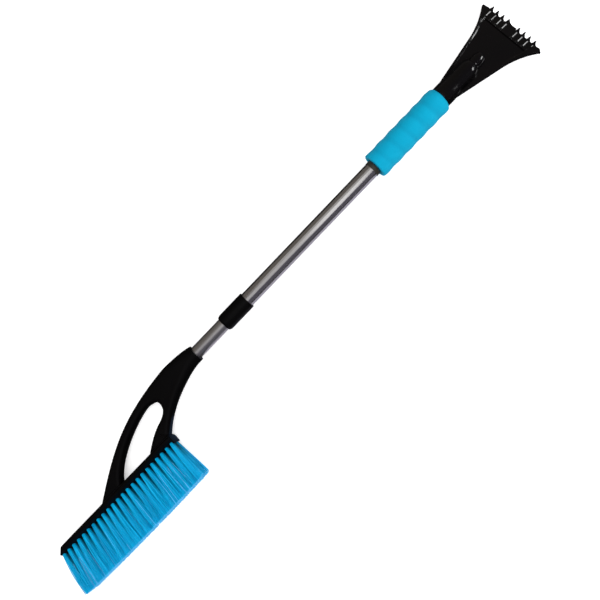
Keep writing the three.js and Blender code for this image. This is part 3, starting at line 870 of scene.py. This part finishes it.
NECK_END, NECK_R = -125, 13
BLOCK_LEFT, BLOCK_RIGHT, BLOCK_TOP, BLOCK_FACE, BLOCK_HALF = -460.3, -232.3, -55, -65.5, 16.5
CREST, CROWN = -68.2, 7.2  # the face bulges to the crest in its middle, and falls back so far at its sides
CHAMFER_ALONG, CHAMFER_DOWN, BLOCK_ROUNDING = 8.5, 8, 5
WALL_FROM, WALL_TO, WALL_FOOT, WALL_HALF = -233, -231.2, -68.2, 12.5
ARM_FOOT = BLOCK_FACE + 2
# From the block to the neck, half the arm's thickness swells, and its edges' rounding grows over two spans.
ARM_HALF, ARM_SWELL, SWELL_SPAN = 10, 3, (-235, -150)
ARM_ROUNDING, ROUNDING_SPANS = 5.5, [(1.7, -230, -175), (5.8, -178, -127)]
# Offsets of the rows of points that carry the arm's rounded edges, and the end of its neck.
ARM_ROWS = [0.05, 0.15, 0.35, 0.7, 1.2, 1.9, 2.8, 3.9, 5.2, 6.8, 8.8]
NECK_ROWS = [0.25, 0.55]


def arm_lines(step=1.1):
    """The arm's two long edges in plan, and the finger loop, each as a line or loop of points."""
    outer = path(
        step, (NECK_END, NECK_R), [(-141, 17.5), (-158, 17.1), (-174.4, 17.7)],
        [(-265.7, 10.9), (-304.4, -10.8), (-366, -51.5)], [(-369, -54), (-374, -56)],
    )
    inner = path(
        step, (-233, ARM_FOOT), [(-233, -56)], [(-232.6, -55.4), (-230.5, -54)],
        [(-197.2, -22.9), (-147, -10.9), (NECK_END, -NECK_R)],
    )
    loop = path(
        step, (-328.4, -59), [(-328.4, -53)], [(-308.5, -22), (-232, 1.2), (-224, -4.6)],
        [(-209.4, -7.6), (-209.8, -13.5), (-213.3, -22.5)], [(-218.5, -29.5), (-231.5, -33)],
        [(-248, -37.5), (-270.5, -54)], [(-276, -59)], [(-328.4, -59)],
    )
    return np.vstack([outer, (-374, -56)]), np.vstack([inner, (NECK_END, -NECK_R)]), loop


def arm():
    """The arch from the round neck to the block, thick and round at the neck, flatter towards its feet."""
    outer, inner, finger = arm_lines()
    foot = straight((-374, ARM_FOOT), (-233, ARM_FOOT), 2)
    loop = np.concatenate([outer, foot, inner])
    loop = np.concatenate([loop, straight((NECK_END, -NECK_R), (NECK_END, NECK_R), 1.0)[1:]])
    finger = finger[::-1] if signed_area(finger) > 0 else finger
    sides = [outer, inner, np.vstack([finger, finger[:1]])]

    def half(points):
        x = points[:, 0]
        thick = ARM_HALF + ARM_SWELL * smoothstep(*SWELL_SPAN, x)
        radius = ARM_ROUNDING
        for growth, low, high in ROUNDING_SPANS:
            radius = radius + growth * smoothstep(low, high, x)
        edge = distance_to(points, sides)
        return np.maximum(thick - drop(edge, radius) - drop(NECK_END - x, 0.5), 0.05)

    across = np.linspace(0.5 - NECK_R, NECK_R - 0.5, 26)
    extra = np.concatenate(
        [beside(line, ARM_ROWS) for line in sides]
        + [np.column_stack([np.full_like(across, NECK_END - inset), across]) for inset in NECK_ROWS]
    )
    return bar("brush", [loop, finger], extra, 2.6, half, 0.25)


def signed_area(loop):
    """A loop's area, above zero if it runs counter-clockwise."""
    x, y = loop.T
    return 0.5 * float((x * np.roll(y, -1) - np.roll(x, -1) * y).sum())


# Offsets of the rows of points that carry the block's rounded back, its crowned face and its two ends.
BACK_ROWS = [0.06, 0.2, 0.45, 0.85, 1.4, 2.1, 3.0, 4.2, 5.6]
FACE_ROWS = [0.05, 0.15, 0.35, 0.7, 1.2, 1.8, 2.5, 3.3, 4.2, 5.2]
SIDE_ROWS = [0.1, 0.25, 0.5, 0.8]


def block():
    """The bar that holds the tufts: round along its back, flat on the tufts' side, its far end cut off."""
    step = 1.4
    chamfer, wall_end = (BLOCK_LEFT + CHAMFER_ALONG, BLOCK_TOP), (BLOCK_LEFT, BLOCK_TOP - CHAMFER_DOWN)
    back = np.concatenate([
        straight((BLOCK_RIGHT, BLOCK_TOP), (chamfer[0] + 1.5, BLOCK_TOP), step),
        quadratic((chamfer[0] + 1.5, BLOCK_TOP), chamfer, (chamfer[0] - 1.2, BLOCK_TOP - 1.1), 0.5),
        straight((chamfer[0] - 1.2, BLOCK_TOP - 1.1), wall_end, step),
        [wall_end],
    ])
    left = straight(wall_end, (BLOCK_LEFT, CREST), 1)[1:]
    face = straight((BLOCK_LEFT, CREST), (BLOCK_RIGHT, CREST), step)
    right = straight((BLOCK_RIGHT, CREST), (BLOCK_RIGHT, BLOCK_TOP), 1)
    loop = np.concatenate([back, left, face, right])
    ends = [np.array([wall_end, (BLOCK_LEFT, CREST)], float),
            np.array([(BLOCK_RIGHT, CREST), (BLOCK_RIGHT, BLOCK_TOP)], float)]

    def half(points):
        flat = BLOCK_HALF - drop(distance_to(points, [back]), BLOCK_ROUNDING)
        crowned = BLOCK_HALF * np.sqrt(np.maximum(points[:, 1] - CREST, 0) / CROWN)
        return np.maximum(np.minimum(flat, crowned) - drop(distance_to(points, ends), 0.8), 0.05)

    extra = np.concatenate([
        beside(back, BACK_ROWS),
        beside(face, FACE_ROWS),
        beside(np.concatenate([left, right]), SIDE_ROWS),
    ])
    return bar("block", [loop], extra, 2.2, half, 0.2)


def end_wall():
    """The wall past the last tufts, with a lip on the tufts' side and a ridge that dies out up the arm."""
    profile = [
        (WALL_FROM, WALL_FOOT), (WALL_TO - 0.6, WALL_FOOT), (WALL_TO, WALL_FOOT + 0.8), (WALL_TO, -58),
        (-233.2, -52.5), (-239, -44.5), (-240.5, -45.5), (-237.5, -53), (-236.5, -59),
        (WALL_FROM - 1.6, -62.5),
    ]
    outline = np.array(soften(profile, 0.6), float)
    if signed_area(outline) < 0:
        outline = outline[::-1]
    rim = [np.vstack([outline, outline[:1]])]

    def half(points):
        slope = 1.6 * smoothstep(-60, -45, points[:, 1])
        return WALL_HALF - slope - drop(distance_to(points, rim), 0.9)

    extra = beside(rim[0], [0.1, 0.25, 0.45, 0.7, 0.95])
    return bar("end_wall", [outline], extra, 0.9, half, 0.12)


# The tufts, as the CAD places them: their roots and tips along the stick, and how far their tips reach.
COLUMNS, ROWS = 23, (-1, 0, 1)
ROOT_SPAN, TIP_SPAN = (-456.8, -236.3), (-463.2, -236)
ROOT_PITCH, TIP_PITCH, HOLE_R, HOLE_DEPTH = 8.5, 12.5, 2.75, 6.5
TUFT_LENGTH, TUFT_BOW = 63.7, 1.5


def column_place(index):
    """A column's root and tip along the stick, and its reach."""
    t = index / (COLUMNS - 1)
    root = ROOT_SPAN[0] + (ROOT_SPAN[1] - ROOT_SPAN[0]) * t
    tip = TIP_SPAN[0] + (TIP_SPAN[1] - TIP_SPAN[0]) * t
    return root, tip, TUFT_LENGTH + TUFT_BOW * math.sin(math.pi * t)


def tuft_holes():
    """One cutter with every tuft's blind hole."""
    verts, faces, sides = [], [], 20
    for index in range(COLUMNS):
        root = column_place(index)[0]
        for row in ROWS:
            a = len(verts)
            b = a + sides
            z = row * ROOT_PITCH
            for y in (CREST - 1, BLOCK_FACE + HOLE_DEPTH):
                verts += [(root + HOLE_R * cosine, y, z + HOLE_R * sine) for cosine, sine in circle(sides)]
            faces += [(a + k, b + k, b + (k + 1) % sides, a + (k + 1) % sides) for k in range(sides)]
            faces.append(tuple(range(a, b)))
            faces.append(tuple(range(b + sides - 1, b - 1, -1)))
    return new_object("holes", verts, faces)


def brush_frame():
    """Neck, arch and block as one moulding, with the tube's socket and the tufts' holes."""
    frame_piece = arm()
    boolean(frame_piece, block(), "UNION")
    boolean(frame_piece, end_wall(), "UNION")
    socket_end = along("inner_tube")[0] - 0.3
    socket_r, mouth = INNER_R + FIT, NECK_END + 1
    corners = [(socket_end, 0), (socket_end, socket_r), (NECK_END - 0.6, socket_r), (mouth, socket_r + 1.2),
               (mouth, 0)]
    socket = turned("socket", soften(corners, 0.2, closed=False), closed=False)
    boolean(frame_piece, socket, "DIFFERENCE")
    boolean(frame_piece, screw_pocket(*NECK_POCKET), "DIFFERENCE")
    boolean(frame_piece, tuft_holes(), "DIFFERENCE")
    dress(frame_piece, "brush", "black_plastic", SATIN, ["brush_frame"], 38)


brush_frame()

# ---- bristles ----

FILAMENTS = 84  # in each tuft
FILAMENT_R, TAPER = 0.27, 0.18  # the taper is the share of its radius that a filament loses by its tip
SEGMENTS = 6
STRAND_SIDES = 5
SEED = 4100  # of the first column's random draws
FLARE = 1.6  # higher spreads a tuft sooner
ROOT_SPREAD, TIP_SPREAD, TIP_DEPTH = 2.35, 6.0, 6.6  # half-sizes of a tuft
END_SPREAD = 4.4  # how far the outermost tips reach past their column's middle
MIDDLE, HALF_SPAN = sum(TIP_SPAN) / 2, (TIP_SPAN[1] - TIP_SPAN[0]) / 2  # of the tips along the stick
CORNER_CUT = 0.12  # shortens the tips past the last column's middle, to round the brush's corners
STRAYS = 0.03  # the share of filaments that stand apart and are pale and scuffed all along
GOLDEN_TURN = 2.399963  # between two filaments of a tuft, so that they fill its circle evenly


def tuft_strands(chance, index, row):
    """One tuft's filaments: each one's line from root to cut tip, how much painted shade it gets, and if it's
    a stray.
    """
    root, tip, reach = column_place(index)
    lowest, highest = TIP_SPAN[0] - END_SPREAD, TIP_SPAN[1] + END_SPREAD
    lean, lean_z, sway = chance.gauss(0, 1.1), chance.gauss(0, 0.6), chance.gauss(0, 0.7)
    strands = []
    for n in range(FILAMENTS):
        spread = math.sqrt((n + 0.5) / FILAMENTS)
        turn = n * GOLDEN_TURN + chance.uniform(-0.2, 0.2)
        across, deep = spread * math.cos(turn), spread * math.sin(turn)
        offset_start = np.array([across, 0, deep]) * ROOT_SPREAD
        wide = TIP_SPREAD * across + chance.gauss(0, 0.4) + lean
        thick = TIP_DEPTH * deep + chance.gauss(0, 0.45) + lean_z * (row == 0)
        stray = chance.random() < STRAYS
        if stray:
            wide += chance.gauss(0, 2.2)
        end_x = min(max(tip + wide, lowest), highest)
        end_z = min(max(row * TIP_PITCH + thick, FLOOR + 0.4), -FLOOR - 0.4)
        offset_end = np.array([end_x - tip, 0, end_z - row * TIP_PITCH])
        start = np.array([root, BLOCK_FACE + 3, row * ROOT_PITCH])
        corner = max(0.0, abs(end_x - MIDDLE) - HALF_SPAN) ** 2 * CORNER_CUT
        end = np.array([tip, BLOCK_FACE - reach + corner + chance.gauss(0, 0.35), row * TIP_PITCH])
        bend = np.array([sway + chance.gauss(0, 0.35), 0, chance.gauss(0, 0.35)])
        line = []
        for k in range(SEGMENTS + 1):
            t = k / SEGMENTS
            offset = offset_start + (offset_end - offset_start) * (1 - (1 - t) ** FLARE)
            line.append(start + (end - start) * t + offset + bend * math.sin(math.pi * t))
        strands.append((line, painted_shade_along(row, across), stray))
    return strands


def painted_shade_along(row, across):
    """How much painted shade a filament gets at each of its points: most at its root, in the middle row and
    at its edge.
    """
    values = []
    for k in range(SEGMENTS + 1):
        t = k / SEGMENTS
        inside = 1 - float(smoothstep(0.1, 0.5, t)) if row == 0 else 0.0
        edge = float(smoothstep(0.55, 1.0, abs(across))) * (1 - float(smoothstep(0.15, 0.75, t)))
        values.append(max(0.93 * inside, 0.72 * edge))
    return values


def bristle_column(index):
    """Three tufts, front to back, as thin round filaments."""
    chance = random.Random(SEED + index)
    verts, faces, tone, depth, painted_shade = [], [], [], [], []
    ring = circle(STRAND_SIDES)
    for row in ROWS:
        for line, point_shades, stray in tuft_strands(chance, index, row):
            start = len(verts)
            shade = chance.random()
            for k, (x, y, z) in enumerate(line):
                radius = FILAMENT_R * (1 - TAPER * k / SEGMENTS)
                verts += [(x + radius * cosine, y, z + radius * sine) for cosine, sine in ring]
                tone += [shade] * STRAND_SIDES
                depth += [1 if stray and k > 1 else k / SEGMENTS] * STRAND_SIDES
                # Painted shade along the filament, for the material to darken it by.
                painted_shade += [point_shades[k]] * STRAND_SIDES
            for k in range(SEGMENTS):
                faces += ring_faces(start + k * STRAND_SIDES, start + (k + 1) * STRAND_SIDES, STRAND_SIDES)
            faces.append(tuple(range(start + STRAND_SIDES - 1, start - 1, -1)))
            last = start + SEGMENTS * STRAND_SIDES
            faces.append(tuple(range(last, last + STRAND_SIDES)))
    number = f"{index + 1:02d}"
    obj = new_object("bristles_" + number, verts, faces)
    store(obj, "strand", tone)
    store(obj, "reach", depth)
    store(obj, "painted_shade", painted_shade)
    for polygon in obj.data.polygons:
        polygon.use_smooth = len(polygon.vertices) == 4
    obj.data.materials.append(NYLON)
    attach(obj, "brush")
    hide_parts("tuft_column_" + number)


for column in range(COLUMNS):
    bristle_column(column)

# ---- pieces that stay as the CAD made them ----

KEPT = {
    "collar_bush": WHITE_NYLON,
    "centring_ring": WHITE_NYLON,
    "cam_plug": GREY_NYLON,
    "cam_ring": GREY_NYLON,
    "cam_washer": ZINC,
    "cam_screw": ZINC,
    "plug_pin": ZINC,
}
for node, kept_material in KEPT.items():
    node_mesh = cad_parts[node].data
    node_mesh.materials.clear()
    node_mesh.materials.append(kept_material)

# ---- floor, light and camera ----

# The cards lie just above the floor. Heights, sizes and gaps are in metres.
FLOOR_HEIGHT, FLAG_HEIGHT, FLOOR_SIZE, FLAG_SPAN = -0.0004, -0.0003, 60, 4
FLOOR_GREY, FLOOR_GLOW, ROOM_LIGHT = (0.75, 0.75, 0.75, 1), 0.45, 0.12
AIR_FRONT, AIR_BEHIND = (0.9, 0.85, 1.05), (1.25, 1.12, 1.02)  # the room's colour on either side of the stick
FLAG_GAP = 0.085  # width of the pale strip that the tubes mirror
FLAG_NOTCH = (0.02, 0.035)  # width of the slate card that the end wall mirrors, and its gap to the axis
FLAG_BLACK, FLAG_LAVENDER, FLAG_SLATE = (0.02, 0.02, 0.02), (0.34, 0.33, 0.39), (0.14, 0.23, 0.4)


def flags():
    """Cards that surfaces mirror in place of the floor: lavender beside the tubes, else nearly all black."""
    axis = STICK[1]
    tubes_start, tubes_end = along("brush_frame")[1], along("foam_grip")[0]
    left, right = STICK[0] + tubes_start * MM, STICK[0] + tubes_end * MM
    strip = axis - FLAG_GAP
    wall = STICK[0] + WALL_TO * MM
    notch, gap = wall + FLAG_NOTCH[0], axis - FLAG_NOTCH[1]
    flag("flag_behind", (-FLAG_SPAN, axis), (FLAG_SPAN, FLAG_SPAN), FLAG_BLACK)
    flag("flag_front", (-FLAG_SPAN, -FLAG_SPAN), (FLAG_SPAN, strip), FLAG_BLACK)
    flag("flag_brush", (-FLAG_SPAN, strip), (wall, axis), FLAG_BLACK)
    flag("flag_arm", (wall, gap), (notch, axis), FLAG_BLACK)
    flag("flag_wall", (wall, strip), (notch, gap), FLAG_SLATE)
    flag("flag_neck", (notch, strip), (left, axis), FLAG_BLACK)
    flag("flag_tubes", (left, strip), (right, axis), FLAG_LAVENDER)
    flag("flag_scraper", (right, strip), (FLAG_SPAN, axis), FLAG_BLACK)


def stage_floor():
    """A large pale floor under the brush."""
    bpy.ops.mesh.primitive_plane_add(size=FLOOR_SIZE, location=(0, 0, FLOOR_HEIGHT))
    floor = bpy.context.object
    floor.name = "floor"
    material, _, bsdf = new_material("pale_floor")
    bsdf.inputs["Roughness"].default_value = 0.95
    bsdf.inputs["Specular IOR Level"].default_value = 0.1
    bsdf.inputs["Base Color"].default_value = FLOOR_GREY
    bsdf.inputs["Emission Color"].default_value = (1, 1, 1, 1)
    bsdf.inputs["Emission Strength"].default_value = FLOOR_GLOW
    floor.data.materials.append(material)


def flag(name, low, high, colour):
    """A card on the floor that only reflections see, so that the surfaces don't mirror the pale floor."""
    (left, front), (right, back) = low, high
    corners = [(left, front), (right, front), (right, back), (left, back)]
    mesh = bpy.data.meshes.new(name)
    mesh.from_pydata([(x, y, FLAG_HEIGHT) for x, y in corners], [], [(0, 1, 2, 3)])
    card = bpy.data.objects.new(name, mesh)
    bpy.context.scene.collection.objects.link(card)
    material, _, bsdf = new_material(name)
    bsdf.inputs["Base Color"].default_value = (*colour, 1)
    bsdf.inputs["Specular IOR Level"].default_value = 0
    mesh.materials.append(material)
    card.visible_camera = card.visible_diffuse = False
    card.visible_shadow = card.visible_transmission = False


def softbox(name, location, target, size, power, mirrored=True):
    """A rectangular soft lamp that faces a target, and that glossy surfaces mirror unless told not to."""
    lamp = bpy.data.lights.new(name, "AREA")
    lamp.shape = "RECTANGLE"
    lamp.size, lamp.size_y = size
    lamp.energy = power
    obj = bpy.data.objects.new(name, lamp)
    bpy.context.scene.collection.objects.link(obj)
    obj.location = location
    obj.visible_glossy = mirrored
    aim = Vector(target) - Vector(location)
    obj.rotation_euler = aim.to_track_quat("-Z", "Y").to_euler()


def studio():
    """Even light from the room, warmer behind the stick than in front of it, and soft lamps overhead."""
    world = bpy.data.worlds.new("studio")
    bpy.context.scene.world = world
    world.use_nodes = True
    background = world.node_tree.nodes["Background"]
    add = Nodes(world.node_tree)
    across = add.nodes.new("ShaderNodeSeparateXYZ")
    add.link(add.nodes.new("ShaderNodeTexCoord").outputs["Generated"], across.inputs[0])
    side = add.remap(across.outputs["Y"], -0.5, 0.5, 0, 1)
    add.link(add.mix(side, AIR_FRONT, AIR_BEHIND), background.inputs["Color"])
    background.inputs["Strength"].default_value = ROOM_LIGHT
    softbox("overhead", (0, -0.5, 2.6), (0, 0, 0), (4.2, 4.2), 145, mirrored=False)
    softbox("key", (0.3, -0.4, 1.45), (0.3, -0.4, 0), (0.5, 1.28), 1.87)
    softbox("key_end", (-0.375, -0.325, 1.45), (-0.375, -0.325, 0), (0.85, 1.13), 1.35)
    softbox("top", (0.1, 0.83, 1.9), (0.1, 0.83, 0), (1.2, 1.06), 1.3)
    softbox("glint", (1.155, -0.59, 0.46), (0.47, 0.04, 0), (0.41, 0.3), 5.6)
    bpy.context.scene.view_settings.view_transform = "Standard"


def camera():
    """The camera over the brush: the stick's angle in the picture, its tilt towards the lens and its roll."""
    heading, tilt, roll = math.radians(46.045), math.radians(3), math.radians(10)
    place = Vector((0.07777, -0.20916, 0.87208))
    stick = Vector((math.cos(tilt) * math.cos(heading), math.cos(tilt) * math.sin(heading), math.sin(tilt)))
    across = Vector((math.sin(heading), -math.cos(heading), 0))
    away = across.cross(stick).normalized()
    down = math.cos(roll) * across + math.sin(roll) * away
    up = down.cross(stick)
    # The rows of this matrix are the camera's own axes in the stick's frame.
    axes = Matrix((
        (stick.x, -down.x, up.x),
        (stick.y, -down.y, up.y),
        (stick.z, -down.z, up.z),
    ))
    lens = bpy.data.cameras.new("camera")
    lens.sensor_width = 36
    lens.lens = 38.4
    lens.shift_x, lens.shift_y = -0.0008, 0.0008
    obj = bpy.data.objects.new("camera", lens)
    bpy.context.scene.collection.objects.link(obj)
    obj.matrix_world = Matrix.Translation(Vector(STICK) + place) @ axes.transposed().to_4x4()
    bpy.context.scene.camera = obj


stage_floor()
flags()
studio()
camera()
